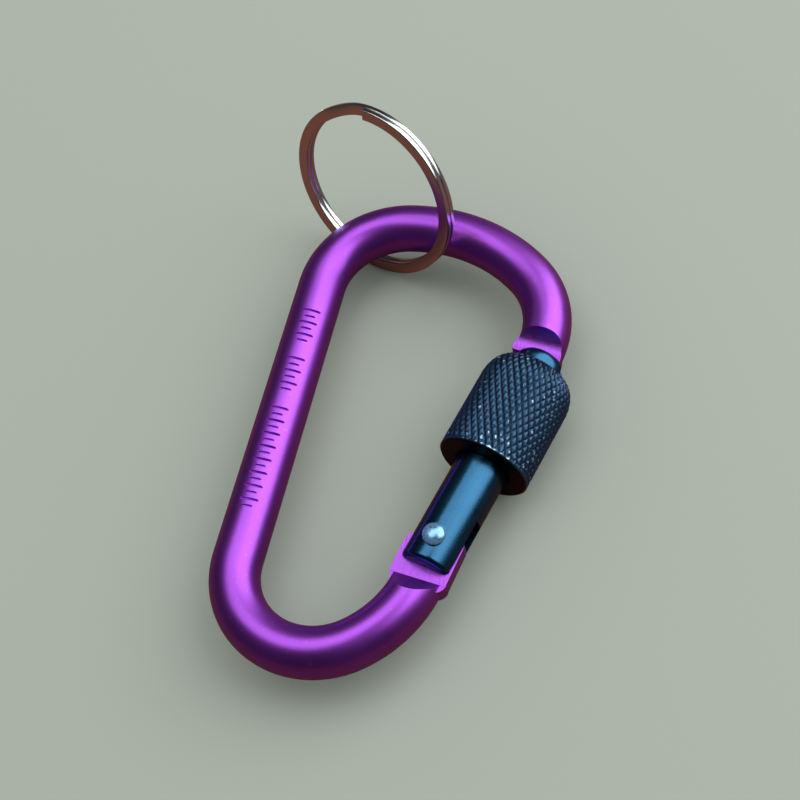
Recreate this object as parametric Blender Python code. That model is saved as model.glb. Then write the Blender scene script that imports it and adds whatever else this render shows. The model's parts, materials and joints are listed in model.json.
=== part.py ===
# Carabiner keyring: a bent-rod body, a sprung gate with a screw sleeve, and a split ring on the top bar.
# Frame: +Y runs up the straight spine, +X towards the gate, +Z out of the carabiner's plane.
# The origin is the middle of the bounding box, at its lowest height.

import bmesh
import bpy
from math import acos, cos, pi, radians, sin, sqrt, tau
from mathutils import Matrix, Quaternion, Vector

mm = 0.001

# Rod and outline: the centreline is a spine, two arcs below it and three arcs above it.
rod_radius = 3.5 * mm
spine_length = 45.4 * mm
gate_lean = radians(15.3)
lower_arcs = [(11.65 * mm, radians(126.3)), (16.9 * mm, pi - gate_lean - radians(126.3))]
upper_arcs = [
    (12.25 * mm, radians(84.0)),
    (24.7 * mm, radians(48.4)),
    (13.55 * mm, pi + gate_lean - radians(84.0 + 48.4)),
]
rod_sides = 24
arc_step = radians(6.0)

# Hinge end and nose end. In the gate's frame X points outwards, Y runs from the rivet to the nose.
rivet_from_arc = 6.43 * mm
hinge_rod_end = -4.5 * mm
nose_rod_end = 31.95 * mm
tongue_half = 1.2 * mm
nose_tip = 30.05 * mm
nose_flat_end = 32.6 * mm
nose_runout = 2.8 * mm
nose_inner = -3.4 * mm
nose_outer = 2.6 * mm
hinge_tip = 1.8 * mm
hinge_flat_end = -5.7 * mm
hinge_runout = 1.7 * mm

# Gate barrel, its slots and its bore
barrel_radius = 3.75 * mm
barrel_bottom = -3.7 * mm
barrel_top = 32.3 * mm
slot_half = 1.35 * mm
hinge_slot_end = 5.0 * mm
nose_slot_end = 29.1 * mm
bore_radius = 1.4 * mm
bore_end = 16.6 * mm

# Pins
rivet_radius = 1.0 * mm
rivet_head_radius = 1.6 * mm
rivet_head_height = 1.0 * mm
rivet_head_gap = 0.07 * mm
pin_radius = 0.5 * mm
pin_reach = 31.2 * mm
pin_inset = -1.6 * mm
pin_back = -3.2 * mm
pin_front = 2.6 * mm
pin_gap = 0.08 * mm
hook_gap = 0.15 * mm

# Locking sleeve: the rest pose has it run down just far enough for the gate to swing
sleeve_radius = 6.65 * mm
sleeve_length = 16.45 * mm
sleeve_shoulder = 3.85 * mm
sleeve_rim_radius = 4.35 * mm
sleeve_bore_radius = 3.87 * mm
sleeve_locked = 14.97 * mm
sleeve_unlock_travel = 1.85 * mm

# Gate spring and its plunger
plunger_radius = 1.2 * mm
plunger_tip = 1.93 * mm
plunger_end = 7.0 * mm
spring_radius = 1.05 * mm
spring_wire = 0.2 * mm
spring_turns = 9
spring_end_gap = 0.1 * mm

# Split ring: two turns of flat wire. Its hinge line is the rod's own axis where the ring hangs.
ring_outer = 13.95 * mm
ring_width = 1.68 * mm
ring_wire = 0.82 * mm
ring_layer_gap = 0.07 * mm
ring_bar_angle = radians(62.5)
ring_offset = Vector((0.72, 2.57, 6.99)) * mm
ring_normal = Vector((0.744, 0.613, -0.278))
ring_turn = radians(62.0)
ring_end_angle = radians(20.0)
ring_step_angle = radians(15.0)


def clear_scene():
    for obj in list(bpy.data.objects):
        bpy.data.objects.remove(obj, do_unlink=True)


def make_material(name, colour, roughness, metallic):
    material = bpy.data.materials.new(name)
    material.use_nodes = True
    shader = material.node_tree.nodes["Principled BSDF"]
    shader.inputs["Base Color"].default_value = (*colour, 1.0)
    shader.inputs["Roughness"].default_value = roughness
    shader.inputs["Metallic"].default_value = metallic
    return material


def make_empty(name, location=(0, 0, 0), rotation=(0, 0, 0), parent=None):
    empty = bpy.data.objects.new(name, None)
    empty.location = location
    empty.rotation_euler = rotation
    empty.parent = parent
    bpy.context.collection.objects.link(empty)
    return empty


def make_object(name, bm, parent, material=None):
    bmesh.ops.recalc_face_normals(bm, faces=bm.faces)
    mesh = bpy.data.meshes.new(name)
    bm.to_mesh(mesh)
    bm.free()
    mesh.shade_smooth()
    mesh.set_sharp_from_angle(angle=radians(35))
    obj = bpy.data.objects.new(name, mesh)
    obj.parent = parent
    bpy.context.collection.objects.link(obj)
    if material:
        mesh.materials.append(material)
    return obj


def make_cutter(name, bm, parent):
    cutter = make_object(name, bm, parent)
    cutter.hide_render = True
    cutter.display_type = "WIRE"
    return cutter


def combine(target, other, operation):
    modifier = target.modifiers.new(other.name, "BOOLEAN")
    modifier.operation = operation
    modifier.solver = "EXACT"
    modifier.object = other


def loft(rings):
    # Joins rings of equal length into one closed body with flat end caps.
    bm = bmesh.new()
    loops = [[bm.verts.new(point) for point in ring] for ring in rings]
    count = len(loops[0])
    for first, second in zip(loops, loops[1:]):
        for i in range(count):
            j = (i + 1) % count
            bm.faces.new((first[i], first[j], second[j], second[i]))
    bm.faces.new(reversed(loops[0]))
    bm.faces.new(loops[-1])
    return bm


def turned(profile, sides, closed=False):
    # Spins a profile of (radius, height) points about the Y axis. A closed profile makes a bored piece.
    if not closed:
        rings = [
            [(r * cos(tau * i / sides), y, r * sin(tau * i / sides)) for i in range(sides)]
            for r, y in profile
        ]
        return loft(rings)
    bm = bmesh.new()
    loops = [
        [bm.verts.new((r * cos(tau * i / sides), y, r * sin(tau * i / sides))) for i in range(sides)]
        for r, y in profile
    ]
    for first, second in zip(loops, loops[1:] + loops[:1]):
        for i in range(sides):
            j = (i + 1) % sides
            bm.faces.new((first[i], first[j], second[j], second[i]))
    return bm


def plate(outline, low, high):
    # Extrudes an outline in the XY plane from one height to another.
    return loft([[(x, y, z) for x, y in outline] for z in (low, high)])


def side_profile(outline, half_width):
    # Extrudes an outline of (y, z) points sideways along X.
    return loft([[(x, y, z) for y, z in outline] for x in (-half_width, half_width)])


def add_box(bm, low, high):
    middle = (Vector(low) + Vector(high)) / 2
    size = Vector(high) - Vector(low)
    matrix = Matrix.Translation(middle) @ Matrix.Diagonal((*size, 1.0))
    bmesh.ops.create_cube(bm, size=1.0, matrix=matrix)
    return bm


def add_rod(bm, radius, low, high, x=0.0, y=0.0, sides=32):
    # Adds a round bar along Z.
    matrix = Matrix.Translation((x, y, (low + high) / 2))
    bmesh.ops.create_cone(
        bm, cap_ends=True, segments=sides, radius1=radius, radius2=radius, depth=high - low, matrix=matrix
    )
    return bm


def ellipse_points(centre, radii, start, end, steps):
    angles = [start + (end - start) * i / steps for i in range(steps + 1)]
    return [(centre[0] + radii[0] * cos(a), centre[1] + radii[1] * sin(a)) for a in angles]


def arc_run(start, heading, arcs, side):
    # Follows tangent arcs from a start point. side is 1 for left turns and -1 for right turns.
    points, x, y = [], *start
    for radius, turn in arcs:
        centre = (x - side * radius * sin(heading), y + side * radius * cos(heading))
        steps = round(turn / arc_step)
        for i in range(1, steps + 1):
            angle = heading + side * turn * i / steps
            points.append((centre[0] + side * radius * sin(angle), centre[1] - side * radius * cos(angle)))
        heading += side * turn
        x, y = points[-1]
    return points, heading


def swept_rod(points, radius, sides):
    # Sweeps a round section along a flat path.
    rings = []
    for i, (x, y) in enumerate(points):
        before, after = points[max(i - 1, 0)], points[min(i + 1, len(points) - 1)]
        along = Vector((after[0] - before[0], after[1] - before[1])).normalized()
        ring = []
        for k in range(sides):
            angle = tau * k / sides
            out, up = radius * cos(angle), radius * sin(angle)
            ring.append((x - along.y * out, y + along.x * out, up))
        rings.append(ring)
    return loft(rings)


def rest_on_origin(root, pieces):
    # Moves the whole model so that its bounding box stands on the origin.
    bpy.context.view_layer.update()
    graph = bpy.context.evaluated_depsgraph_get()
    corners = []
    for piece in pieces:
        evaluated = piece.evaluated_get(graph)
        mesh = evaluated.to_mesh()
        corners += [evaluated.matrix_world @ vertex.co for vertex in mesh.vertices]
        evaluated.to_mesh_clear()
    low = Vector([min(corner[axis] for corner in corners) for axis in range(3)])
    high = Vector([max(corner[axis] for corner in corners) for axis in range(3)])
    root.location = (-(low.x + high.x) / 2, -(low.y + high.y) / 2, -low.z)
    bpy.context.view_layer.update()


# The flat centreline, from the rivet end round the spine to the nose
lower, lower_heading = arc_run((0.0, 0.0), -pi / 2, lower_arcs, 1)
upper, upper_heading = arc_run((0.0, spine_length), pi / 2, upper_arcs, -1)
gate_along = Vector((sin(gate_lean), cos(gate_lean)))
gate_out = Vector((cos(gate_lean), -sin(gate_lean)))
pivot = Vector(lower[-1]) + gate_along * rivet_from_arc
hinge_stub = Vector(lower[-1]) + gate_along * (rivet_from_arc + hinge_rod_end)
nose_arc_height = (Vector(upper[-1]) - pivot).dot(gate_along)
nose_stub = Vector(upper[-1]) - gate_along * (nose_arc_height - nose_rod_end)

clear_scene()
purple = make_material("purple_anodised", (0.29, 0.07, 0.55), 0.32, 1.0)
black = make_material("black_anodised", (0.012, 0.014, 0.02), 0.3, 0.9)
knurled = make_material("black_knurled", (0.014, 0.02, 0.035), 0.4, 0.9)
steel = make_material("bright_steel", (0.72, 0.76, 0.82), 0.18, 1.0)
spring_steel = make_material("spring_steel", (0.5, 0.5, 0.52), 0.3, 1.0)
nickel = make_material("nickel", (0.62, 0.55, 0.5), 0.12, 1.0)

root = make_empty("carabiner_plane")
gate_axis = make_empty("gate_axis", (*pivot, 0.0), (0.0, 0.0, -gate_lean), root)


def build_body():
    path = [tuple(hinge_stub)] + lower[::-1] + [(0.0, 0.0)]
    path += [(0.0, spine_length * i / 6) for i in range(1, 7)] + upper + [tuple(nose_stub)]
    body = make_object("carabiner_body", swept_rod(path, rod_radius, rod_sides), root, purple)

    # The pressed tongues are wider than the rod, so each is a plate joined to it.
    thick = 1.9 * mm
    nose_outline = [
        (nose_inner, 34.0 * mm),
        (nose_inner, nose_tip + 0.5 * mm),
        (nose_inner + 0.5 * mm, nose_tip),
        (nose_outer - 0.8 * mm, nose_tip),
        (nose_outer - 0.25 * mm, nose_tip + 0.25 * mm),
        (nose_outer, nose_tip + 0.8 * mm),
        (nose_outer - 0.25 * mm, 33.5 * mm),
        (nose_outer - 2.0 * mm, 34.5 * mm),
    ]
    hinge_outline = [
        (3.0 * mm, -8.5 * mm),
        (4.25 * mm, -6.9 * mm),
        (3.95 * mm, -5.4 * mm),
        (3.55 * mm, hinge_tip - 0.6 * mm),
        (3.05 * mm, hinge_tip),
        (-2.6 * mm, hinge_tip),
        (-3.2 * mm, hinge_tip - 0.6 * mm),
        (-3.2 * mm, -5.4 * mm),
        (-2.4 * mm, -8.5 * mm),
    ]
    for name, outline in (("nose_plate", nose_outline), ("hinge_plate", hinge_outline)):
        combine(body, make_cutter(name, plate(outline, -thick, thick), gate_axis), "UNION")

    # The flats on both faces of each tongue run out into the rod along a round corner.
    clear = 6.0 * mm
    nose_corner = ellipse_points(
        (nose_flat_end, tongue_half + nose_runout), (nose_runout, nose_runout), -pi / 2, 0.0, 8
    )
    nose_side = [(nose_tip - 3.0 * mm, tongue_half), *nose_corner]
    nose_side += [(nose_flat_end + nose_runout, clear), (nose_tip - 3.0 * mm, clear)]
    hinge_corner = ellipse_points(
        (hinge_flat_end, tongue_half + hinge_runout), (hinge_runout, hinge_runout), -pi / 2, -pi, 7
    )
    hinge_side = [(hinge_tip + 3.0 * mm, tongue_half), *hinge_corner]
    hinge_side += [(hinge_flat_end - hinge_runout, clear), (hinge_tip + 3.0 * mm, clear)]
    for name, side in (("nose_flat", nose_side), ("hinge_flat", hinge_side)):
        for face, flip in (("front", 1), ("back", -1)):
            outline = [(y, flip * z) for y, z in side]
            cutter = make_cutter(f"{name}_{face}", side_profile(outline, 8.0 * mm), gate_axis)
            combine(body, cutter, "DIFFERENCE")

    # Rivet hole, and the hook that the latch pin swings into about the rivet
    hole = make_cutter("rivet_hole", add_rod(bmesh.new(), rivet_radius + pin_gap, -3 * mm, 3 * mm), gate_axis)
    combine(body, hole, "DIFFERENCE")
    reach, half = pin_reach, pin_radius + hook_gap
    closed, mouth = acos(pin_inset / reach), acos(-6.0 * mm / reach)
    inner_edge = ellipse_points((0, 0), (reach - half, reach - half), mouth, closed, 6)
    outer_edge = ellipse_points((0, 0), (reach + half, reach + half), closed, mouth, 6)
    seat_centre = (reach * cos(closed), reach * sin(closed))
    seat = ellipse_points(seat_centre, (half, half), closed - pi, closed, 8)[1:-1]
    hook = plate(inner_edge + seat + outer_edge, -3 * mm, 3 * mm)
    combine(body, make_cutter("latch_hook", hook, gate_axis), "DIFFERENCE")
    return body


def build_gate_barrel():
    edge = 0.7 * mm
    dome = (1.6 * mm, 1.7 * mm)
    profile = [(0.4 * mm, barrel_bottom)]
    profile += ellipse_points((barrel_radius - edge, barrel_bottom + edge), (edge, edge), -pi / 2, 0.0, 4)
    profile += ellipse_points((barrel_radius - dome[0], barrel_top - dome[1]), dome, 0.0, pi / 2, 5)
    profile += [(0.4 * mm, barrel_top)]
    barrel = make_object("gate_barrel", turned(profile, 32), gate_axis, black)

    wide, far = 6.0 * mm, 3.0 * mm
    lower_slot = add_box(
        bmesh.new(), (-wide, barrel_bottom - far, -slot_half), (wide, hinge_slot_end, slot_half)
    )
    upper_slot = add_box(bmesh.new(), (-wide, nose_slot_end, -slot_half), (wide, barrel_top + far, slot_half))
    bore = turned([(bore_radius, hinge_slot_end - 1.0 * mm), (bore_radius, bore_end)], 24)
    rivet_hole = add_rod(bmesh.new(), rivet_radius + pin_gap, -wide, wide)
    pin_height = sqrt(pin_reach**2 - pin_inset**2)
    pin_hole = add_rod(
        bmesh.new(), pin_radius + pin_gap, -wide, pin_front + 0.15 * mm, pin_inset, pin_height, 20
    )
    for name, bm in (
        ("lower_slot", lower_slot),
        ("upper_slot", upper_slot),
        ("spring_bore", bore),
        ("barrel_rivet_hole", rivet_hole),
        ("latch_pin_hole", pin_hole),
    ):
        combine(barrel, make_cutter(name, bm, gate_axis), "DIFFERENCE")
    return barrel


def build_locking_sleeve():
    bottom = sleeve_locked - sleeve_unlock_travel
    top = bottom + sleeve_length
    chamfer = 0.3 * mm
    shoulder_radii = (sleeve_radius - sleeve_rim_radius, sleeve_shoulder)
    profile = [
        (sleeve_bore_radius + chamfer, bottom),
        (sleeve_radius - chamfer, bottom),
        (sleeve_radius, bottom + chamfer),
    ]
    profile += ellipse_points((sleeve_rim_radius, top - sleeve_shoulder), shoulder_radii, 0.0, pi / 2, 8)
    profile += [
        (sleeve_bore_radius + 0.2 * mm, top),
        (sleeve_bore_radius, top - 0.2 * mm),
        (sleeve_bore_radius, bottom + chamfer),
    ]
    return make_object("locking_sleeve", turned(profile, 48, closed=True), gate_axis, knurled)


def build_hinge_rivet():
    under = barrel_radius + rivet_head_gap
    rim = 0.15 * mm
    dome = (rivet_head_radius, rivet_head_height - rim)
    half = [(rivet_radius, under), (rivet_head_radius, under)]
    half += ellipse_points((0.0, under + rim), dome, 0.0, radians(82), 5)
    profile = [(r, -z) for r, z in half[::-1]] + half
    bm = turned(profile, 24)
    bmesh.ops.rotate(bm, verts=bm.verts, cent=(0, 0, 0), matrix=Matrix.Rotation(pi / 2, 3, "X"))
    return make_object("hinge_rivet", bm, gate_axis, steel)


def build_latch_pin():
    height = sqrt(pin_reach**2 - pin_inset**2)
    bm = add_rod(bmesh.new(), pin_radius, pin_back, pin_front, pin_inset, height, 20)
    return make_object("latch_pin", bm, gate_axis, steel)


def build_spring_plunger():
    nose = 0.7 * mm
    profile = [(0.15 * mm, plunger_tip)]
    profile += ellipse_points((0.0, plunger_tip + nose), (plunger_radius, nose), radians(-70), 0.0, 4)
    profile += [(plunger_radius, plunger_end)]
    return make_object("spring_plunger", turned(profile, 20), gate_axis, spring_steel)


def build_gate_spring():
    low = plunger_end + spring_end_gap + spring_wire
    high = bore_end - spring_end_gap - spring_wire
    per_turn = 12
    count = spring_turns * per_turn
    curve = bpy.data.curves.new("gate_spring", "CURVE")
    curve.dimensions = "3D"
    curve.bevel_depth = spring_wire
    curve.bevel_resolution = 1
    curve.use_fill_caps = True
    spline = curve.splines.new("POLY")
    spline.points.add(count)
    for i, point in enumerate(spline.points):
        angle = tau * i / per_turn
        height = low + (high - low) * i / count
        point.co = (spring_radius * cos(angle), height, spring_radius * sin(angle), 1.0)
    curve.materials.append(spring_steel)
    spring = bpy.data.objects.new("gate_spring", curve)
    spring.parent = gate_axis
    bpy.context.collection.objects.link(spring)
    return spring


def build_split_ring():
    # The ring's pivot stands on the rod's axis: X along the rod, Y outwards from the bend, Z up.
    radius = upper_arcs[0][0]
    bar = Vector((radius - radius * cos(ring_bar_angle), spine_length + radius * sin(ring_bar_angle), 0.0))
    along = pi / 2 - ring_bar_angle
    swing_axis = make_empty("ring_pivot", bar, (0.0, 0.0, along), root)

    # Two layers of flat wire, joined by one step between the wire's two ends
    middle, half_width, half_wire = ring_outer - ring_width / 2, ring_width / 2, ring_wire / 2
    corner = 0.12 * mm
    section = [
        (half_width - corner, -half_wire),
        (half_width, -half_wire + corner),
        (half_width, half_wire - corner),
        (half_width - corner, half_wire),
        (-half_width + corner, half_wire),
        (-half_width, half_wire - corner),
        (-half_width, -half_wire + corner),
        (-half_width + corner, -half_wire),
    ]
    layer = (ring_wire + ring_layer_gap) / 2
    start, end = ring_end_angle, 2 * tau - ring_end_angle
    steps = round((end - start) / radians(5))
    rings = []
    for i in range(steps + 1):
        angle = start + (end - start) * i / steps
        rise = min(max((angle - tau) / ring_step_angle, -1.0), 1.0)
        height = layer * sin(rise * pi / 2)
        rings.append(
            [
                ((middle + out) * cos(angle), (middle + out) * sin(angle), height + up)
                for out, up in section
            ]
        )
    ring = make_object("split_ring", loft(rings), swing_axis, nickel)
    ring.location = ring_offset
    facing = ring_normal.to_track_quat("Z", "Y")
    ring.rotation_euler = (facing @ Quaternion((0, 0, 1), ring_turn)).to_euler()
    return ring


pieces = [
    build_body(),
    build_gate_barrel(),
    build_locking_sleeve(),
    build_hinge_rivet(),
    build_latch_pin(),
    build_spring_plunger(),
    build_gate_spring(),
    build_split_ring(),
]
rest_on_origin(root, pieces)
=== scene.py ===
import json
from math import acos, cos, hypot, pi, radians, sin, sqrt, tau

import bpy
import numpy as np
from mathutils import Matrix, Quaternion, Vector


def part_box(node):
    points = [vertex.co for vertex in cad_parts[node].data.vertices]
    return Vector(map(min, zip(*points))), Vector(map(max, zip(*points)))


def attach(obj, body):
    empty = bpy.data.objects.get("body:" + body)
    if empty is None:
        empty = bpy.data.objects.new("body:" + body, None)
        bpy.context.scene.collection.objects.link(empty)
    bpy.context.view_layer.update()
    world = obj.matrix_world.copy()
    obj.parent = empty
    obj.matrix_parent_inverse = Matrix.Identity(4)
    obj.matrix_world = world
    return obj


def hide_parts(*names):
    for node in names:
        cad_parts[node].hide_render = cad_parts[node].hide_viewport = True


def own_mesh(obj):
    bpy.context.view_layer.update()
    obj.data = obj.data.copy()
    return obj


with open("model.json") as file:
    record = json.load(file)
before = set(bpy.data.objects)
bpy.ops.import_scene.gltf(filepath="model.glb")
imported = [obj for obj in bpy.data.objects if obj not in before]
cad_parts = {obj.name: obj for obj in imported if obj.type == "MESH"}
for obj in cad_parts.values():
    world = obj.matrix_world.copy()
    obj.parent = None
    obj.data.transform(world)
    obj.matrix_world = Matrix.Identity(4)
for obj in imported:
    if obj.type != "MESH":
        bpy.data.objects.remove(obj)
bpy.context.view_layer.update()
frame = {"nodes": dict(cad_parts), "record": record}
mm = 0.001

# Where things are: every place comes from the joints and the boxes of the frame.
joints = {joint["name"]: joint for joint in frame["record"]["behaviour"]["joints"]}
pivot = Vector(joints["gate_hinge"]["pos_m"])
alongGate = Vector(joints["sleeve_travel"]["axis"])
gateSpace = Matrix((
    (alongGate.y, alongGate.x, 0.0, pivot.x),
    (-alongGate.x, alongGate.y, 0.0, pivot.y),
    (0.0, 0.0, 1.0, pivot.z),
    (0.0, 0.0, 0.0, 1.0),
))  # X across the gate, away from the spine; Y along the gate, from the rivet to the nose
gateLean = 15.3  # degrees between the gate's line and the spine's
print("frame loaded")


def clearSelection():
    if bpy.context.object and bpy.context.object.mode != "OBJECT":
        bpy.ops.object.mode_set(mode="OBJECT")
    bpy.ops.object.select_all(action="DESELECT")


def makeOnly(piece):
    clearSelection()
    piece.select_set(True)
    bpy.context.view_layer.objects.active = piece


def editAll():
    bpy.ops.object.mode_set(mode="EDIT")
    bpy.ops.mesh.select_all(action="SELECT")


def endEdit():
    bpy.ops.object.mode_set(mode="OBJECT")


def loopFrom(name, points, filled=False):
    # A circle primitive whose corners are moved to the given places
    clearSelection()
    fill = "NGON" if filled else "NOTHING"
    bpy.ops.mesh.primitive_circle_add(vertices=len(points), radius=1.0, fill_type=fill)
    piece = bpy.context.object
    piece.name = piece.data.name = name
    for corner, place in zip(piece.data.vertices, points):
        corner.co = place
    return piece


def mergeAndFaceOut(gap):
    # In edit mode: doubles are merged, then every face is turned outwards
    bpy.ops.mesh.select_all(action="SELECT")
    bpy.ops.mesh.remove_doubles(threshold=gap)
    bpy.ops.mesh.normals_make_consistent(inside=False)
    endEdit()


def outwardNormals(piece):
    makeOnly(piece)
    editAll()
    mergeAndFaceOut(0.001 * mm)


def smooth(piece, angle):
    makeOnly(piece)
    bpy.ops.object.shade_smooth_by_angle(angle=radians(angle))


def extrudeBy(vector, count=1):
    for _ in range(count):
        bpy.ops.mesh.extrude_region_move(TRANSFORM_OT_translate={"value": tuple(vector / count)})


def extrudedFrom(name, corners, vector):
    piece = loopFrom(name, corners, filled=True)
    editAll()
    extrudeBy(vector)
    endEdit()
    outwardNormals(piece)
    return piece


def prism(name, outline, low, high):
    # A plate: an outline in the plane of the carabiner, extruded upwards
    corners = [gateSpace @ Vector((x, y, low)) for x, y in outline]
    return extrudedFrom(name, corners, Vector((0, 0, high - low)))


def sideways(name, outline, halfWidth, space):
    # A bar: an outline of (along, up) points, extruded across the gate
    corners = [space @ Vector((-halfWidth, y, z)) for y, z in outline]
    return extrudedFrom(name, corners, space.to_3x3() @ Vector((2 * halfWidth, 0, 0)))


def spunRound(name, profile, steps, space=gateSpace):
    # A turned piece: (radius, along) points spun a whole turn about the space's own Y line
    piece = loopFrom(name, [space @ Vector((r, y, 0.0)) for r, y in profile])
    editAll()
    axis = space.to_3x3() @ Vector((0, 1, 0))
    bpy.ops.mesh.spin(
        steps=steps, angle=tau, center=tuple(space.translation), axis=tuple(axis), use_auto_merge=True
    )
    mergeAndFaceOut(0.002 * mm)
    return piece


def arcPoints(centre, radii, start, end, steps):
    angles = [start + (end - start) * i / steps for i in range(steps + 1)]
    return [(centre[0] + radii[0] * cos(a), centre[1] + radii[1] * sin(a)) for a in angles]


def roundHole(centre, radius, corners):
    return arcPoints(centre, (radius, radius), 0.0, tau * (corners - 1) / corners, corners - 1)


def carve(piece, tool, operation="DIFFERENCE"):
    makeOnly(piece)
    modifier = piece.modifiers.new(tool.name, "BOOLEAN")
    modifier.operation = operation
    modifier.solver = "EXACT"
    modifier.object = tool
    bpy.ops.object.modifier_apply(modifier=modifier.name)
    bpy.data.objects.remove(tool, do_unlink=True)


# Shader helpers: a wired value can be added, scaled and compared like a number.
class Wired:
    def __init__(self, maker, socket):
        self.maker, self.socket = maker, socket

    def joined(self, operation, *values):
        return self.maker.node("Math", {"operation": operation}, dict(enumerate(values)))

    def __add__(self, other):
        return self.joined("ADD", self, other)

    def __sub__(self, other):
        return self.joined("SUBTRACT", self, other)

    def __rsub__(self, other):
        return self.joined("SUBTRACT", other, self)

    def __mul__(self, other):
        return self.joined("MULTIPLY", self, other)

    def __gt__(self, other):
        return self.joined("GREATER_THAN", self, other)

    __radd__ = __add__
    __rmul__ = __mul__


class Wiring:
    def __init__(self, tree):
        self.tree = tree

    def feed(self, target, value):
        if isinstance(value, Wired):
            self.tree.links.new(value.socket, target)
        elif isinstance(value, (tuple, list)) and len(value) == 3 and target.type == "RGBA":
            target.default_value = (*value, 1.0)
        else:
            target.default_value = value

    def node(self, kind, settings=None, inputs=None, output=0):
        node = self.tree.nodes.new("ShaderNode" + kind)
        for key, value in (settings or {}).items():
            if key == "stops":
                self.setStops(node.color_ramp, value)
            else:
                setattr(node, key, value)
        for key, value in (inputs or {}).items():
            self.feed(node.inputs[key], value)
        return Wired(self, node.outputs[output])

    def setStops(self, ramp, stops):
        for i, (place, grey) in enumerate(stops):
            stop = ramp.elements[i] if i < 2 else ramp.elements.new(place)
            stop.position = place
            stop.color = (grey, grey, grey, 1.0)

    def blendColours(self, factor, first, second):
        # A Mix node has a set of sockets for each type: 0, 6 and 7 in and 2 out are those for colours
        return self.node("Mix", {"data_type": "RGBA"}, {0: factor, 6: first, 7: second}, output=2)


class Finish(Wiring):
    def __init__(self, name, **fixed):
        self.material = bpy.data.materials.new(name)
        self.material.use_nodes = True
        super().__init__(self.material.node_tree)
        self.shader = self.tree.nodes["Principled BSDF"]
        self.set(**fixed)

    def set(self, **values):
        for socket, value in values.items():
            self.feed(self.shader.inputs[socket], value)

    def place(self, turn=(0, 0, 0), scale=(1, 1, 1)):
        point = self.node("TexCoord", output="Object")
        return self.node("Mapping", {}, {"Vector": point, "Rotation": turn, "Scale": scale})

    def noise(self, vector, scale, detail=3.0, roughness=0.55):
        inputs = {"Vector": vector, "Scale": scale, "Detail": detail, "Roughness": roughness}
        return self.node("TexNoise", {}, inputs)

    def ramp(self, value, *stops):
        return self.node("ValToRGB", {"stops": stops}, {"Fac": value})

    def bump(self, height, strength, distance, under=None):
        inputs = {"Height": height, "Strength": strength, "Distance": distance}
        if under:
            inputs["Normal"] = under
        return self.node("Bump", {}, inputs)

    def finished(self, colour, rough, relief):
        self.set(**{"Base Color": colour, "Roughness": rough, "Normal": relief})
        return self.material


def shaded(tint, share):
    return tuple(v * share for v in tint)


def anodisedPurple(name, milled):
    look = dict(
        deep=(0.33, 0.034, 0.60), bright=(0.43, 0.062, 0.74),
        dust=(0.55, 0.27, 0.74), dusty=0.35,
        rough=0.37, uneven=0.10,
        cloudSize=130.0, grainSize=9000.0, speckSize=2400.0, grainBump=(0.18, 0.02 * mm),
        streak=(0.52, 0.10, 0.90), streaky=0.5, streakSize=3400.0, streakStretch=0.05,
        streakRough=0.16, streakBump=(0.35, 0.05 * mm),
    )
    finish = Finish(name, **{
        "Metallic": 0.975, "Coat Roughness": 0.33, "Coat IOR": 1.6, "Coat Weight": 0.8,
    })
    point = finish.place()
    clouds = finish.noise(point, look["cloudSize"], 4.0)
    grain = finish.noise(point, look["grainSize"], 2.0, 0.7)
    specks = finish.ramp(finish.noise(point, look["speckSize"], 2.0), (0.66, 0.0), (0.72, 1.0))
    colour = finish.blendColours(clouds, look["deep"], look["bright"])
    colour = finish.blendColours(specks * look["dusty"], colour, look["dust"])
    rough = look["rough"] + (clouds - 0.5) * look["uneven"] + (grain - 0.5) * look["uneven"]
    relief = finish.bump(grain, *look["grainBump"])
    if milled:  # the cutter's streaks run along the gate
        turned = finish.place(turn=(0, 0, radians(gateLean)), scale=(1.0, look["streakStretch"], 1.0))
        streaks = finish.noise(turned, look["streakSize"], 3.0, 0.65)
        streaks = finish.ramp(streaks, (0.36, 0.0), (0.64, 1.0))
        colour = finish.blendColours(streaks * look["streaky"], colour, look["streak"])
        rough = rough + (streaks - 0.5) * look["streakRough"]
        relief = finish.bump(streaks, *look["streakBump"], relief)
    return finish.finished(colour, rough, relief)


def anodisedBlack():
    # Painted reflection: the black finish is tinted blue, so its reflections of white lamps come out
    # sky-blue
    look = dict(
        tint=(0.028, 0.130, 0.25), cloudy=(0.8, 1.2), rough=0.27, uneven=0.12, grainRough=0.06,
        cloudSize=220.0, grainSize=8000.0, grainShare=0.4,
        ringSize=5200.0, ringStretch=0.04, bump=(0.3, 0.02 * mm),
        scuff=(0.25, 0.32, 0.4), scuffed=0.25,
        scuffSize=1500.0, scuffTurn=(0.4, 0.3, 0.8), scuffStretch=0.15,
    )
    finish = Finish("blackAnodised", **{
        "Metallic": 1.0, "Coat Weight": 0.25, "Coat Roughness": 0.12, "Coat IOR": 1.45,
    })
    point = finish.place()
    clouds = finish.noise(point, look["cloudSize"], 4.0)
    grain = finish.noise(point, look["grainSize"], 2.0, 0.7)
    squeezed = (look["ringStretch"], 1.0, look["ringStretch"])
    rings = finish.place(turn=(0, 0, radians(gateLean)), scale=squeezed)
    rings = finish.noise(rings, look["ringSize"], 2.0, 0.6)
    scuffs = finish.place(turn=look["scuffTurn"], scale=(look["scuffStretch"], 1.0, 1.0))
    scuffs = finish.ramp(finish.noise(scuffs, look["scuffSize"], 2.0), (0.70, 0.0), (0.76, 1.0))
    colour = finish.blendColours(clouds, *(shaded(look["tint"], share) for share in look["cloudy"]))
    colour = finish.blendColours(scuffs * look["scuffed"], colour, look["scuff"])
    rough = look["rough"] + (clouds - 0.5) * look["uneven"] + (grain - 0.5) * look["grainRough"]
    relief = finish.bump(rings + grain * look["grainShare"], *look["bump"])
    return finish.finished(colour, rough, relief)


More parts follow.
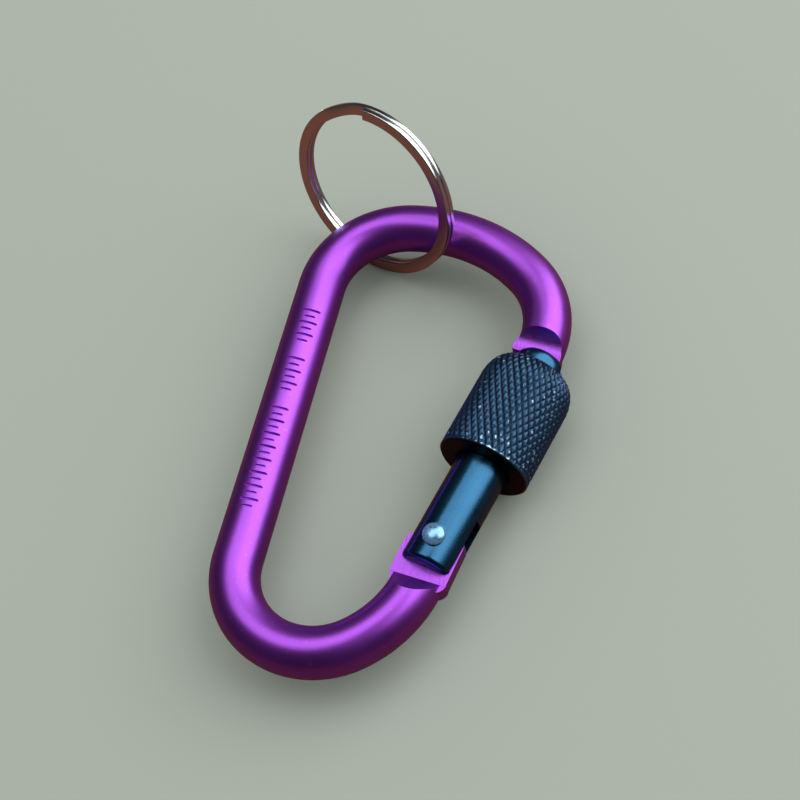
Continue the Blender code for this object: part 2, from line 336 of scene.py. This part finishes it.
def knurledBlack():
    look = dict(
        valley=(0.006, 0.020, 0.050), ridge=(0.034, 0.092, 0.175), worn=(0.50, 0.78, 1.0),
        plain=(0.002, 0.002, 0.003), coat=0.15, rough=0.36, uneven=0.2, wornRough=0.16,
        cloudSize=300.0, grainSize=7000.0, cloudShare=0.5, bump=(0.35, 0.03 * mm),
        nickSize=900.0, gateLength=30 * mm, rimWear=0.08,
    )
    finish = Finish("blackKnurled", **{"Metallic": 0.9, "Coat Roughness": 0.2})
    point = finish.place()
    height = finish.node("Attribute", {"attribute_name": "ridge"}, output="Fac")
    clouds = finish.noise(point, look["cloudSize"], 4.0)
    grain = finish.noise(point, look["grainSize"], 2.0, 0.7)

    # The crests are nicked down to the metal here and there, partly real wear and partly painted
    # glints: the nicks are painted bright sky-blue, with more of them near the lower rim as a painted
    # highlight band
    place = {0: point, 1: tuple(alongGate)}
    along = finish.node("VectorMath", {"operation": "DOT_PRODUCT"}, place, output="Value")
    along = (along - pivot.dot(alongGate)) * (1.0 / look["gateLength"])
    nearRim = finish.ramp(along, (0.47, 1.0), (0.62, 0.0))
    nicksAndGlints = finish.noise(point, look["nickSize"], 1.0, 0.7) + nearRim * look["rimWear"]
    nicksAndGlints = finish.ramp(nicksAndGlints, (0.67, 0.0), (0.72, 1.0))
    bareAndGlint = finish.ramp(height, (0.80, 0.0), (0.95, 1.0)) * nicksAndGlints

    # Painted shade: the grooves are coloured darker than the crests, so the knurl's hollows are shaded
    # in the colour itself
    top = finish.ramp(height, (0.15, 0.0), (0.8, 1.0))
    colour = finish.blendColours(top, look["valley"], look["ridge"])
    # Painted highlight: the nicked crests take a bright sky-blue glint colour
    colour = finish.blendColours(bareAndGlint, colour, look["worn"])
    knurled = height > -0.1  # the attribute is -0.5 on the ends and in the bore
    # Painted shade: the ends and the bore are painted almost black, far darker than the knurl's own
    # finish
    colour = finish.blendColours(knurled, look["plain"], colour)
    rough = look["rough"] + (clouds - 0.5) * look["uneven"] + bareAndGlint * look["wornRough"]
    finish.set(**{"Coat Weight": knurled * look["coat"]})
    relief = finish.bump(grain + clouds * look["cloudShare"], *look["bump"])
    return finish.finished(colour, rough, relief)


def brightSteel(name, tint, rough, metallic=1.0):
    look = dict(
        cloudSize=500.0, shade=0.82, uneven=0.15, stain=0.3, stained=0.7,
        scratchSize=6000.0, scratchTurn=(0.3, 0.2, 0.5), scratchStretch=0.08,
        scratchRough=0.12, scratchShare=0.5, dentSize=1700.0, bump=(0.25, 0.05 * mm),
    )
    finish = Finish(name, Metallic=metallic)
    point = finish.place()
    clouds = finish.noise(point, look["cloudSize"], 4.0)
    scratches = finish.place(turn=look["scratchTurn"], scale=(look["scratchStretch"], 1.0, 1.0))
    scratches = finish.noise(scratches, look["scratchSize"], 2.0)
    dents = finish.noise(point, look["dentSize"], 2.0)
    stains = finish.ramp(dents, (0.36, 1.0), (0.46, 0.0))
    colour = finish.blendColours(clouds, shaded(tint, look["shade"]), tint)
    colour = finish.blendColours(stains * look["stained"], colour, shaded(tint, look["stain"]))
    rough = rough + (clouds - 0.5) * look["uneven"] + (scratches - 0.5) * look["scratchRough"]
    relief = finish.bump(scratches * look["scratchShare"] + dents, *look["bump"])
    return finish.finished(colour, rough, relief)


def nickelled(name, tint, rough):
    look = dict(
        cloudSize=180.0, shade=0.85, uneven=0.08,
        fineSize=5000.0, fineRough=0.05, bump=(0.12, 0.02 * mm),
    )
    finish = Finish(name, Metallic=1.0)
    point = finish.place()
    clouds = finish.noise(point, look["cloudSize"], 3.0)
    fine = finish.noise(point, look["fineSize"], 2.0)
    colour = finish.blendColours(clouds, shaded(tint, look["shade"]), tint)
    rough = rough + (clouds - 0.5) * look["uneven"] + (fine - 0.5) * look["fineRough"]
    return finish.finished(colour, rough, finish.bump(fine, *look["bump"]))


def giveMaterials(piece, *materials):
    piece.data.materials.clear()
    for material in materials:
        piece.data.materials.append(material)


# The bent rod body: a rod swept up the spine and round both ends, then pressed, milled and stamped
bodyLook = dict(
    rodRadius=3.5 * mm, around=72,
    spine=45.4 * mm, spineSteps=24, spineFoot=15.15 * mm, arcStep=radians(2.0),
    # (radius, turn) of each bend, from the spine outwards
    lower=[(11.65 * mm, radians(126.3)), (16.9 * mm, radians(180 - gateLean - 126.3))],
    upper=[
        (12.25 * mm, radians(84.0)), (24.7 * mm, radians(48.4)),
        (13.55 * mm, radians(180 + gateLean - 132.4)),
    ],
    hingeStub=1.93 * mm, noseStub=0.63 * mm,
    # the pressed tongues: each flat goes from its tip to its end, then runs out
    plateHalf=1.26 * mm, flatHalf=1.2 * mm, skew=radians(6.5),
    noseFlat=(26 * mm, 32.6 * mm), noseRunout=2.8 * mm,
    hingeFlat=(5 * mm, -5.6 * mm), hingeRunout=(2.7 * mm, 2.4 * mm),
    toolHalf=8 * mm, toolTop=6.0 * mm, through=3 * mm,
)
# The body and the barrel share the latch pin and the rivet; the latch is placed from the rivet
latchLook = dict(
    reach=31.2 * mm, inward=1.6 * mm, mouth=6.0 * mm, hookHalf=0.65 * mm, pinHole=0.58 * mm,
)
rivetHole = dict(radius=1.08 * mm, corners=32)
noseOutline = [  # (across, along) in millimetres: flared where the press squeezed it
    (-3.6, 34.3), (-4.15, 34.15), (-4.48, 33.5), (-4.62, 32.8), (-4.66, 32.1), (-4.60, 31.75),
    (-4.40, 31.62), (-3.75, 31.60), (-3.42, 31.35), (-3.40, 30.6), (-3.25, 30.2), (-2.9, 30.05),
    (1.8, 30.05), (2.3, 30.25), (2.58, 30.8), (2.62, 31.4), (2.66, 32.0), (2.58, 32.6),
    (2.36, 33.3), (2.0, 34.0), (1.4, 34.3),
]
hingeOutline = [
    (2.4, -6.7), (3.2, -6.45), (3.6, -6.15), (3.93, -5.65), (4.08, -5.05), (3.98, -5.0),
    (3.62, 0.9), (3.3, 1.55), (2.8, 1.8), (-2.6, 1.8), (-3.1, 1.5), (-3.4, 0.7),
    (-3.72, 0.1), (-4.12, -0.5), (-4.2, -1.4), (-4.05, -4.8), (-3.9, -5.8), (-3.55, -6.6),
    (-3.2, -7.3), (-2.4, -7.7),
]


def spineBottom():
    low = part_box("carabiner_body")[0]
    return Vector((low[0] + bodyLook["rodRadius"], low[1] + bodyLook["spineFoot"], pivot.z))


def sweepBends(x, y, heading, bends, side):
    for radius, turn in bends:
        centre = (x - side * radius * sin(heading), y + side * radius * cos(heading), pivot.z)
        steps = round(turn / bodyLook["arcStep"])
        bpy.ops.mesh.spin(
            steps=steps, angle=turn, center=centre, axis=(0, 0, -side), use_auto_merge=False
        )
        heading += side * turn
        x, y = centre[0] + side * radius * sin(heading), centre[1] - side * radius * cos(heading)


def makeBody():
    look, foot = bodyLook, spineBottom()
    radius, around = look["rodRadius"], look["around"]
    angles = [tau * i / around for i in range(around)]
    section = [foot + Vector((radius * cos(a), 0.0, radius * sin(a))) for a in angles]
    body = loopFrom("carabinerBody", section)
    editAll()
    extrudeBy(Vector((0, look["spine"], 0)), look["spineSteps"])
    sweepBends(foot.x, foot.y + look["spine"], pi / 2, look["upper"], -1)
    extrudeBy(-alongGate * look["noseStub"])
    bpy.ops.mesh.edge_face_add()
    bpy.ops.mesh.select_all(action="DESELECT")
    endEdit()
    for vertex in body.data.vertices[:around]:  # back to the first ring, at the spine's foot
        vertex.select = True
    bpy.ops.object.mode_set(mode="EDIT")
    sweepBends(foot.x, foot.y, -pi / 2, look["lower"], 1)
    extrudeBy(alongGate * look["hingeStub"], 2)
    bpy.ops.mesh.edge_face_add()
    endEdit()
    outwardNormals(body)
    print("rod swept", len(body.data.vertices))
    return body


def cutTongues(body):
    look, through = bodyLook, bodyLook["through"]
    for name, outline in (("nosePlate", noseOutline), ("hingePlate", hingeOutline)):
        outline = [(x * mm, y * mm) for x, y in outline]
        carve(body, prism(name, outline, -look["plateHalf"], look["plateHalf"]), "UNION")

    # The flats run out into the rod: round at the nose, in a sloped wall at the hinge
    half, far = look["flatHalf"], look["toolTop"]
    (tip, noseEnd), run = look["noseFlat"], look["noseRunout"]
    noseSide = [(tip, half)] + arcPoints((noseEnd, half + run), (run, run), -pi / 2, 0.0, 24)
    noseSide += [(noseEnd + run, far), (tip, far)]
    (tip, hingeEnd), (run, rise) = look["hingeFlat"], look["hingeRunout"]
    hingeSide = [(tip, half), (hingeEnd, half), (hingeEnd - run, half + rise)]
    hingeSide += [(hingeEnd - run, far), (tip, far)]
    skew = Matrix.Rotation(look["skew"], 4, "Z")
    for name, side, end in (("noseFlat", noseSide, noseEnd), ("hingeFlat", hingeSide, hingeEnd)):
        about = Matrix.Translation((0, end, 0))
        space = gateSpace @ about @ skew @ about.inverted()
        for flip in (1, -1):
            carve(body, sideways(name, [(y, flip * z) for y, z in side], look["toolHalf"], space))

    # The hook for the latch pin is a slot about the rivet, with a round seat
    reach, gap = latchLook["reach"], latchLook["hookHalf"]
    closed, mouth = acos(-latchLook["inward"] / reach), acos(-latchLook["mouth"] / reach)
    seat = (reach * cos(closed), reach * sin(closed))
    hook = arcPoints((0, 0), (reach - gap, reach - gap), mouth, closed, 8)
    hook += arcPoints(seat, (gap, gap), closed - pi, closed, 16)[1:-1]
    hook += arcPoints((0, 0), (reach + gap, reach + gap), closed, mouth, 8)
    carve(body, prism("latchHook", hook, -through, through))
    hole = roundHole((0, 0), rivetHole["radius"], rivetHole["corners"])
    carve(body, prism("rivetHole", hole, -through, through))
    print("tongues cut")


def stampMarks(body):
    # Pressed bars, long and short by turns, in three groups: a plain grip with no wording
    look = dict(
        first=38.8 * mm, pitch=2.09 * mm, groups=(3, 3, 8), firstTurn=radians(14), lastTurn=radians(3),
        bar=(2.9 * mm, 0.56 * mm), short=(1.7 * mm, 0.5 * mm),
        depth=0.24 * mm, above=0.3 * mm, lengthAtFloor=0.9, widthAtFloor=0.45,
    )
    foot, radius = spineBottom(), bodyLook["rodRadius"]
    top, floor = radius + look["above"], radius - look["depth"]
    places, place = [], look["first"]
    for group in look["groups"]:
        for _ in range(group):
            places += [(place, look["bar"]), (place - look["pitch"] / 2, look["short"])]
            place -= look["pitch"]
        place -= look["pitch"]
    length = places[0][0] - places[-1][0]
    twist = look["lastTurn"] - look["firstTurn"]

    def onRod(distance, angle, y):
        return foot + Vector((distance * sin(angle), y, distance * cos(angle)))

    tools = []
    for place, (tall, wide) in places:
        turn = look["firstTurn"] + twist * (places[0][0] - place) / length
        end, roundness = tall / 2 - wide / 2, wide / 2
        outline = arcPoints((end, 0), (roundness, roundness), -pi / 2, pi / 2, 6)
        outline += [(end * k / 2, roundness) for k in (1, 0, -1)]
        outline += [(-x, -y) for x, y in outline]
        corners = [onRod(top, turn + x / radius, place + y) for x, y in outline]
        tool = loopFrom("stamp", corners, filled=True)
        editAll()
        bpy.ops.mesh.extrude_region_move()
        endEdit()
        for vertex, (x, y) in zip(tool.data.vertices[len(outline):], outline):
            angle = turn + x * look["lengthAtFloor"] / radius
            vertex.co = onRod(floor, angle, place + y * look["widthAtFloor"])
        outwardNormals(tool)
        tools.append(tool)
    makeOnly(tools[0])
    for tool in tools:
        tool.select_set(True)
    bpy.ops.object.join()
    carve(body, tools[0])
    print("marks stamped", len(places))


def markMilledFaces(body):
    # The flats on both tongues have their own finish, the second material
    look = dict(
        nose=(29 * mm, 35.5 * mm), hinge=(-7.6 * mm, 3 * mm), spineSide=-5 * mm,
        noseMiddle=-1.0 * mm, hingeMiddle=0.1 * mm, edge=0.05 * mm, lean=0.25,
    )
    toGate = gateSpace.inverted()
    for face in body.data.polygons:
        x, y, z = toGate @ face.center
        normal = toGate.to_3x3() @ face.normal
        onNose = look["nose"][0] < y < look["nose"][1]
        onHinge = look["hinge"][0] < y < look["hinge"][1] and x > look["spineSide"]
        middle = look["noseMiddle"] if onNose else look["hingeMiddle"]
        inside = hypot(x - middle, z) < bodyLook["rodRadius"] - look["edge"]
        flat = abs(normal.x) < look["lean"]
        face.material_index = 1 if (onNose or onHinge) and flat and inside else 0


body = makeBody()
cutTongues(body)
stampMarks(body)
smooth(body, 28)
giveMaterials(body, anodisedPurple("purpleAnodised", False), anodisedPurple("purpleMilled", True))
markMilledFaces(body)
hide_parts("carabiner_body")
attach(body, "frame")
print("body done")


# The gate barrel: turned, threaded where the sleeve screws, slotted at both ends
def makeBarrel():
    look = dict(
        radius=3.75 * mm, bottom=-3.7 * mm, top=32.3 * mm, edge=0.7 * mm, dome=(1.6 * mm, 1.7 * mm),
        around=96,
        threadFrom=15.4 * mm, threadTo=28.2 * mm, pitch=0.8 * mm, threadDepth=0.28 * mm,
        slotHalf=1.35 * mm, slots=(("lowerSlot", -8 * mm, 5.0 * mm), ("upperSlot", 29.1 * mm, 36 * mm)),
        bore=1.4 * mm, boreFrom=4 * mm, boreTo=16.6 * mm, pinTop=2.75 * mm, beyond=6 * mm,
    )
    radius, bottom, top, edge = look["radius"], look["bottom"], look["top"], look["edge"]
    profile = [(0.0, bottom)] + arcPoints((radius - edge, bottom + edge), (edge, edge), -pi / 2, 0, 8)
    place, pitch = look["threadFrom"], look["pitch"]
    while place + pitch < look["threadTo"]:
        profile += [(radius, place), (radius, place + 0.2 * pitch)]
        profile += [(radius - look["threadDepth"], place + 0.6 * pitch)]
        place += pitch
    profile += [(radius, place)]
    profile += arcPoints((radius - look["dome"][0], top - look["dome"][1]), look["dome"], 0, pi / 2, 10)
    profile += [(0.0, top)]
    barrel = spunRound("gateBarrel", profile, look["around"])

    wide = look["beyond"]
    for name, low, high in look["slots"]:
        box = [(-wide, low), (wide, low), (wide, high), (-wide, high)]
        carve(barrel, prism(name, box, -look["slotHalf"], look["slotHalf"]))
    bore, low, high = look["bore"], look["boreFrom"], look["boreTo"]
    carve(barrel, spunRound("springBore", [(0, low), (bore, low), (bore, high), (0, high)], 32))
    hole = roundHole((0, 0), rivetHole["radius"], rivetHole["corners"])
    carve(barrel, prism("barrelRivetHole", hole, -wide, wide))
    reach, inward = latchLook["reach"], latchLook["inward"]
    pin = roundHole((-inward, sqrt(reach**2 - inward**2)), latchLook["pinHole"], 24)
    carve(barrel, prism("pinHole", pin, -wide, look["pinTop"]))
    smooth(barrel, 32)
    return barrel


barrel = makeBarrel()
giveMaterials(barrel, anodisedBlack())
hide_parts("gate_barrel")
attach(barrel, "gate")
print("barrel done", len(barrel.data.polygons))


# The locking sleeve, with a diamond knurl pressed into its side and shoulder
sleeveLook = dict(
    radius=6.65 * mm, rim=4.35 * mm, bore=3.87 * mm, length=16.45 * mm, shoulder=3.85 * mm,
    chamfer=0.3 * mm, boreEdge=0.2 * mm, locked=14.97 * mm, around=400, along=112, overShoulder=34,
    grooves=39, lean=radians(31), deep=0.27 * mm, shallow=0.17 * mm, deepWidth=0.30, shallowWidth=0.26,
    fadeIn=0.35 * mm, fadeOut=0.9 * mm, offKnurl=-0.5,
)


def makeSleeve():
    look = sleeveLook
    radius, rim, bore, chamfer = look["radius"], look["rim"], look["bore"], look["chamfer"]
    bottom = look["locked"] - joints["sleeve_travel"]["range_m"][1]  # at rest, below the locked place
    top = bottom + look["length"]
    shoulderFoot = top - look["shoulder"]
    start = [(bore + chamfer, bottom), (radius - chamfer, bottom)]
    rise = shoulderFoot - bottom - chamfer
    knurl = [(radius, bottom + chamfer + rise * i / look["along"]) for i in range(look["along"])]
    shoulder = (radius - rim, look["shoulder"])
    knurl += arcPoints((rim, shoulderFoot), shoulder, 0, pi / 2, look["overShoulder"])
    end = [(bore + look["boreEdge"], top), (bore, top - look["boreEdge"]), (bore, bottom + chamfer)]
    sleeve = spunRound("lockingSleeve", start + knurl + end, look["around"])
    pressKnurl(sleeve, np.array(knurl))
    smooth(sleeve, 40)
    return sleeve


def pressKnurl(sleeve, outline):
    # Two sets of crossing grooves, one deeper than the other, are pressed in along the surface
    look, mesh = sleeveLook, sleeve.data
    places = np.empty(len(mesh.vertices) * 3)
    mesh.vertices.foreach_get("co", places)
    turn, origin = np.array(gateSpace.inverted().to_3x3()), np.array(gateSpace.translation)
    local = (places.reshape(-1, 3) - origin) @ turn.T
    radius, along = np.hypot(local[:, 0], local[:, 2]), local[:, 1]

    # Each vertex finds its point of the outline, and how far along the surface that is
    away = (radius[:, None] - outline[None, :, 0]) ** 2 + (along[:, None] - outline[None, :, 1]) ** 2
    nearest = np.argmin(away, axis=1)
    onKnurl = np.hypot(radius - outline[nearest, 0], along - outline[nearest, 1]) < 0.01 * mm
    lengths = np.concatenate([[0.0], np.cumsum(np.hypot(*np.diff(outline, axis=0).T))])
    travel = lengths[nearest]

    def groove(phase, width):
        return np.clip(1.0 - np.abs(phase - np.round(phase)) / width, 0.0, 1.0)

    around = look["grooves"] * np.arctan2(local[:, 0], local[:, 2]) / tau
    lead = np.tan(look["lean"]) * travel / (tau * look["radius"] / look["grooves"])
    deepSet = look["deep"] * groove(around + lead, look["deepWidth"])
    shallowSet = look["shallow"] * groove(around - lead, look["shallowWidth"])
    fade = np.clip(travel / look["fadeIn"], 0, 1)
    fade = fade * np.clip((lengths[-1] - travel) / look["fadeOut"], 0, 1)
    press = np.maximum(deepSet, shallowSet) * fade * onKnurl

    slope = np.gradient(outline, axis=0)
    outward = np.stack([slope[:, 1], -slope[:, 0]], axis=1)
    outward /= np.linalg.norm(outward, axis=1)[:, None]
    outward = outward[nearest]
    shrink = (radius - outward[:, 0] * press) / radius
    local[:, 0] *= shrink
    local[:, 1] -= outward[:, 1] * press
    local[:, 2] *= shrink
    mesh.vertices.foreach_set("co", (local @ turn + origin).ravel())
    ridge = mesh.attributes.new("ridge", "FLOAT", "POINT")
    ridge.data.foreach_set("value", np.where(onKnurl, 1.0 - press / look["deep"], look["offKnurl"]))
    mesh.update()


sleeve = makeSleeve()
giveMaterials(sleeve, knurledBlack())
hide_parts("locking_sleeve")
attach(sleeve, "sleeve")
print("sleeve done", len(sleeve.data.polygons))


# The hinge rivet: a plain shank with a peened dome at each end
def makeRivet():
    look = dict(
        shank=1.0 * mm, head=1.6 * mm, height=1.0 * mm, under=3.82 * mm, rim=0.15 * mm, edge=0.06 * mm,
        around=64,
    )
    head, under, rim, edge = look["head"], look["under"], look["rim"], look["edge"]
    half = [(look["shank"], under), (head - edge, under), (head, under + edge)]
    half += arcPoints((0.0, under + rim), (head, look["height"] - rim), 0.0, pi / 2, 14)
    half[-1] = (0.0, half[-1][1])  # the dome's tip is on the axis
    profile = [(r, -z) for r, z in half[::-1]] + half
    upright = gateSpace @ Matrix.Rotation(pi / 2, 4, "X")
    rivet = spunRound("hingeRivet", profile, look["around"], space=upright)
    smooth(rivet, 40)
    return rivet


rivet = makeRivet()
# Painted reflection: the rivet's steel is tinted sky-blue and partly diffuse, so it shows a sky
# reflection under white lamps
giveMaterials(rivet, brightSteel("rivetSteel", (0.30, 0.60, 1.0), 0.27, 0.8))
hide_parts("hinge_rivet")
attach(rivet, "frame")
print("rivet done")


# The split ring: two turns of flat wire with a step between them
ringLook = dict(
    outer=13.95 * mm, width=1.68 * mm, wire=0.82 * mm, gap=0.07 * mm, corner=0.14 * mm,
    start=radians(20), stepTurn=radians(15), perStep=radians(2.5),
    offset=Vector((0.72, 2.57, 6.99)) * mm, normal=Vector((0.744, 0.613, -0.278)), turn=radians(62.0),
    # Painted reflections: the edge walls get a cool sky tint and the flats a warm tint, two copies of
    # one nickelled finish
    wall=((0.78, 0.88, 0.92), 0.18), face=((0.95, 0.85, 0.72), 0.24), faceTilt=0.6,
)


def ringSpace():
    # The ring's own plane, placed from the line it swings about: X along the bar, Y outwards
    swing, look = joints["ring_swing"], ringLook
    along, place = Vector(swing["axis"]), swing["pos_m"]
    bar = Matrix((
        (along.x, -along.y, 0.0, place[0]),
        (along.y, along.x, 0.0, place[1]),
        (0.0, 0.0, 1.0, place[2]),
        (0.0, 0.0, 0.0, 1.0),
    ))
    facing = look["normal"].to_track_quat("Z", "Y") @ Quaternion((0, 0, 1), look["turn"])
    return bar @ Matrix.LocRotScale(look["offset"], facing, None)


def makeSplitRing():
    look, space = ringLook, ringSpace()
    halfWidth, halfWire, corner = look["width"] / 2, look["wire"] / 2, look["corner"]
    middle = look["outer"] - halfWidth
    section = []
    for i, (x, y) in enumerate(((1, 1), (-1, 1), (-1, -1), (1, -1))):
        centre = (x * (halfWidth - corner), y * (halfWire - corner))
        section += arcPoints(centre, (corner, corner), i * pi / 2, (i + 1) * pi / 2, 3)
    start, whole = look["start"], 2 * (tau - look["start"])
    steps = round(whole / look["perStep"])
    places = [
        space @ Vector(((middle + out) * cos(start), (middle + out) * sin(start), up))
        for out, up in section
    ]
    ring = loopFrom("splitRing", places, filled=True)
    editAll()
    axis = space.to_3x3() @ Vector((0, 0, 1))
    bpy.ops.mesh.spin(
        steps=steps, angle=whole, center=tuple(space.translation), axis=tuple(-axis),
        use_auto_merge=False,
    )
    endEdit()
    layer = (look["wire"] + look["gap"]) / 2
    for vertex in ring.data.vertices:  # the first turn is below, the second above, with a step between
        angle = start + whole * (vertex.index // len(section)) / steps
        rise = min(max((angle - tau) / look["stepTurn"], -1.0), 1.0)
        vertex.co += axis * layer * sin(rise * pi / 2)
    outwardNormals(ring)
    smooth(ring, 40)
    giveMaterials(ring, nickelled("nickelWall", *look["wall"]), nickelled("nickelFace", *look["face"]))
    # Faces pointing along the ring's axis take the warm painted reflection, the rest the cool sky one
    toRing = space.to_3x3().inverted()
    for face in ring.data.polygons:
        face.material_index = 1 if abs((toRing @ face.normal).z) > look["faceTilt"] else 0
    return ring


ring = makeSplitRing()
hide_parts("split_ring")
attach(ring, "ring")
print("ring done")


# The gate spring: a helix between the plunger and the bore's end
def makeSpring():
    look = dict(
        coil=1.05 * mm, wire=0.2 * mm, low=7.3 * mm, high=16.3 * mm, turns=9, perTurn=24,
        travel=1.03 * mm,
    )
    coil, wire, low, height = look["coil"], look["wire"], look["low"], look["high"] - look["low"]
    section = [(coil + wire * cos(tau * i / 8), wire * sin(tau * i / 8)) for i in range(8)]
    places = [gateSpace @ Vector((r, low + y, 0.0)) for r, y in section]
    spring = loopFrom("gateSpring", places, filled=True)
    editAll()
    steps = look["turns"] * look["perTurn"]
    bpy.ops.mesh.spin(
        steps=steps, angle=tau * look["turns"], center=tuple(pivot), axis=tuple(alongGate)
    )
    endEdit()
    for vertex in spring.data.vertices:
        vertex.co += alongGate * height * (vertex.index // len(section)) / steps
    outwardNormals(spring)
    smooth(spring, 50)
    anchor = pivot + alongGate * (look["high"] + wire)  # the bore's end, which stays
    return spring, anchor, 1.0 - look["travel"] / (height + 2 * wire)


spring, anchor, keep = makeSpring()
giveMaterials(spring, brightSteel("springWire", (0.5, 0.5, 0.52), 0.3))
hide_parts("gate_spring")
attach(spring, "gate")
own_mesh(spring)
print("spring done", len(spring.data.vertices))

# The pin and the plunger keep their shapes and get their finish
for node, material in (
    ("latch_pin", brightSteel("pinSteel", (0.7, 0.74, 0.8), 0.25)),
    ("spring_plunger", brightSteel("plungerSteel", (0.6, 0.62, 0.66), 0.3)),
):
    giveMaterials(frame["nodes"][node], material)


# Stage, lights and camera. The metal mirrors a dimmer floor and room than those in view
stageLook = dict(
    floorColour=(0.274, 0.296, 0.263), floorGlossy=(0.095, 0.036, 0.028),
    floorHalf=1.2, floorDrop=0.05 * mm,
    worldPale=(0.87, 0.90, 0.86), worldDim=(0.028, 0.027, 0.029),
)
softBoxes = (
    dict(
        name="keyWindow", azimuth=129, elevation=42,
        size=(1.0, 0.9), power=6.5, colour=(0.97, 0.98, 1.0),
    ),
    dict(
        name="overhead", azimuth=-125, elevation=73,
        size=(0.6, 0.5), power=1.7, colour=(0.95, 0.97, 1.0),
    ),
)
softBoxDistance = 0.80


def makeStage():
    look = stageLook
    clearSelection()
    bpy.ops.mesh.primitive_plane_add(size=2 * look["floorHalf"], location=(0, 0, -look["floorDrop"]))
    floor = bpy.context.object
    floor.name = "paleFloor"
    finish = Finish("paleFloor", **{"Roughness": 0.9, "Specular IOR Level": 0.1})
    mirrored = finish.node("LightPath", output="Is Glossy Ray")
    colour = finish.blendColours(mirrored, look["floorColour"], look["floorGlossy"])
    finish.set(**{"Base Color": colour})
    giveMaterials(floor, finish.material)
    world = bpy.data.worlds.new("studio")
    bpy.context.scene.world = world
    world.use_nodes = True
    wiring = Wiring(world.node_tree)
    mirrored = wiring.node("LightPath", output="Is Glossy Ray")
    background = wiring.tree.nodes["Background"]
    room = wiring.blendColours(mirrored, look["worldPale"], look["worldDim"])
    wiring.feed(background.inputs["Color"], room)


def hangSoftBox(name, azimuth, elevation, size, power, colour):
    a, e = radians(azimuth), radians(elevation)
    away = Vector((sin(a) * cos(e), -cos(a) * cos(e), sin(e)))
    light = bpy.data.lights.new(name, "AREA")
    light.shape = "RECTANGLE"
    light.size, light.size_y = size
    light.energy = power
    light.color = colour
    lamp = bpy.data.objects.new(name, light)
    lamp.location = away * softBoxDistance
    lamp.rotation_euler = away.to_track_quat("Z", "Y").to_euler()
    bpy.context.collection.objects.link(lamp)


def makeCamera():
    look = dict(
        lens=70.85, sensor=36.0, near=0.005,
        target=Vector((-0.174, 2.190, 6.65)) * mm, distance=222.446 * mm,
        turn=radians(-63.45), tilt=radians(32.68), roll=radians(14.97),
    )
    turn, tilt, roll = look["turn"], look["tilt"], look["roll"]
    away = Vector((sin(tilt) * cos(turn), sin(tilt) * sin(turn), cos(tilt)))
    right = (-away).cross(Vector((0, 1, 0))).normalized()
    up = right.cross(-away)
    rolledRight = cos(roll) * right + sin(roll) * up
    rolledUp = -sin(roll) * right + cos(roll) * up
    data = bpy.data.cameras.new("camera")
    data.lens = look["lens"]
    data.sensor_width = look["sensor"]
    data.clip_start = look["near"]
    camera = bpy.data.objects.new("camera", data)
    facing = Matrix((rolledRight, rolledUp, away)).transposed()
    camera.matrix_world = Matrix.Translation(look["target"] + away * look["distance"]) @ facing.to_4x4()
    bpy.context.collection.objects.link(camera)
    bpy.context.scene.camera = camera


makeStage()
for box in softBoxes:
    hangSoftBox(**box)
makeCamera()
bpy.context.scene.view_settings.view_transform = "Standard"
print("stage done")
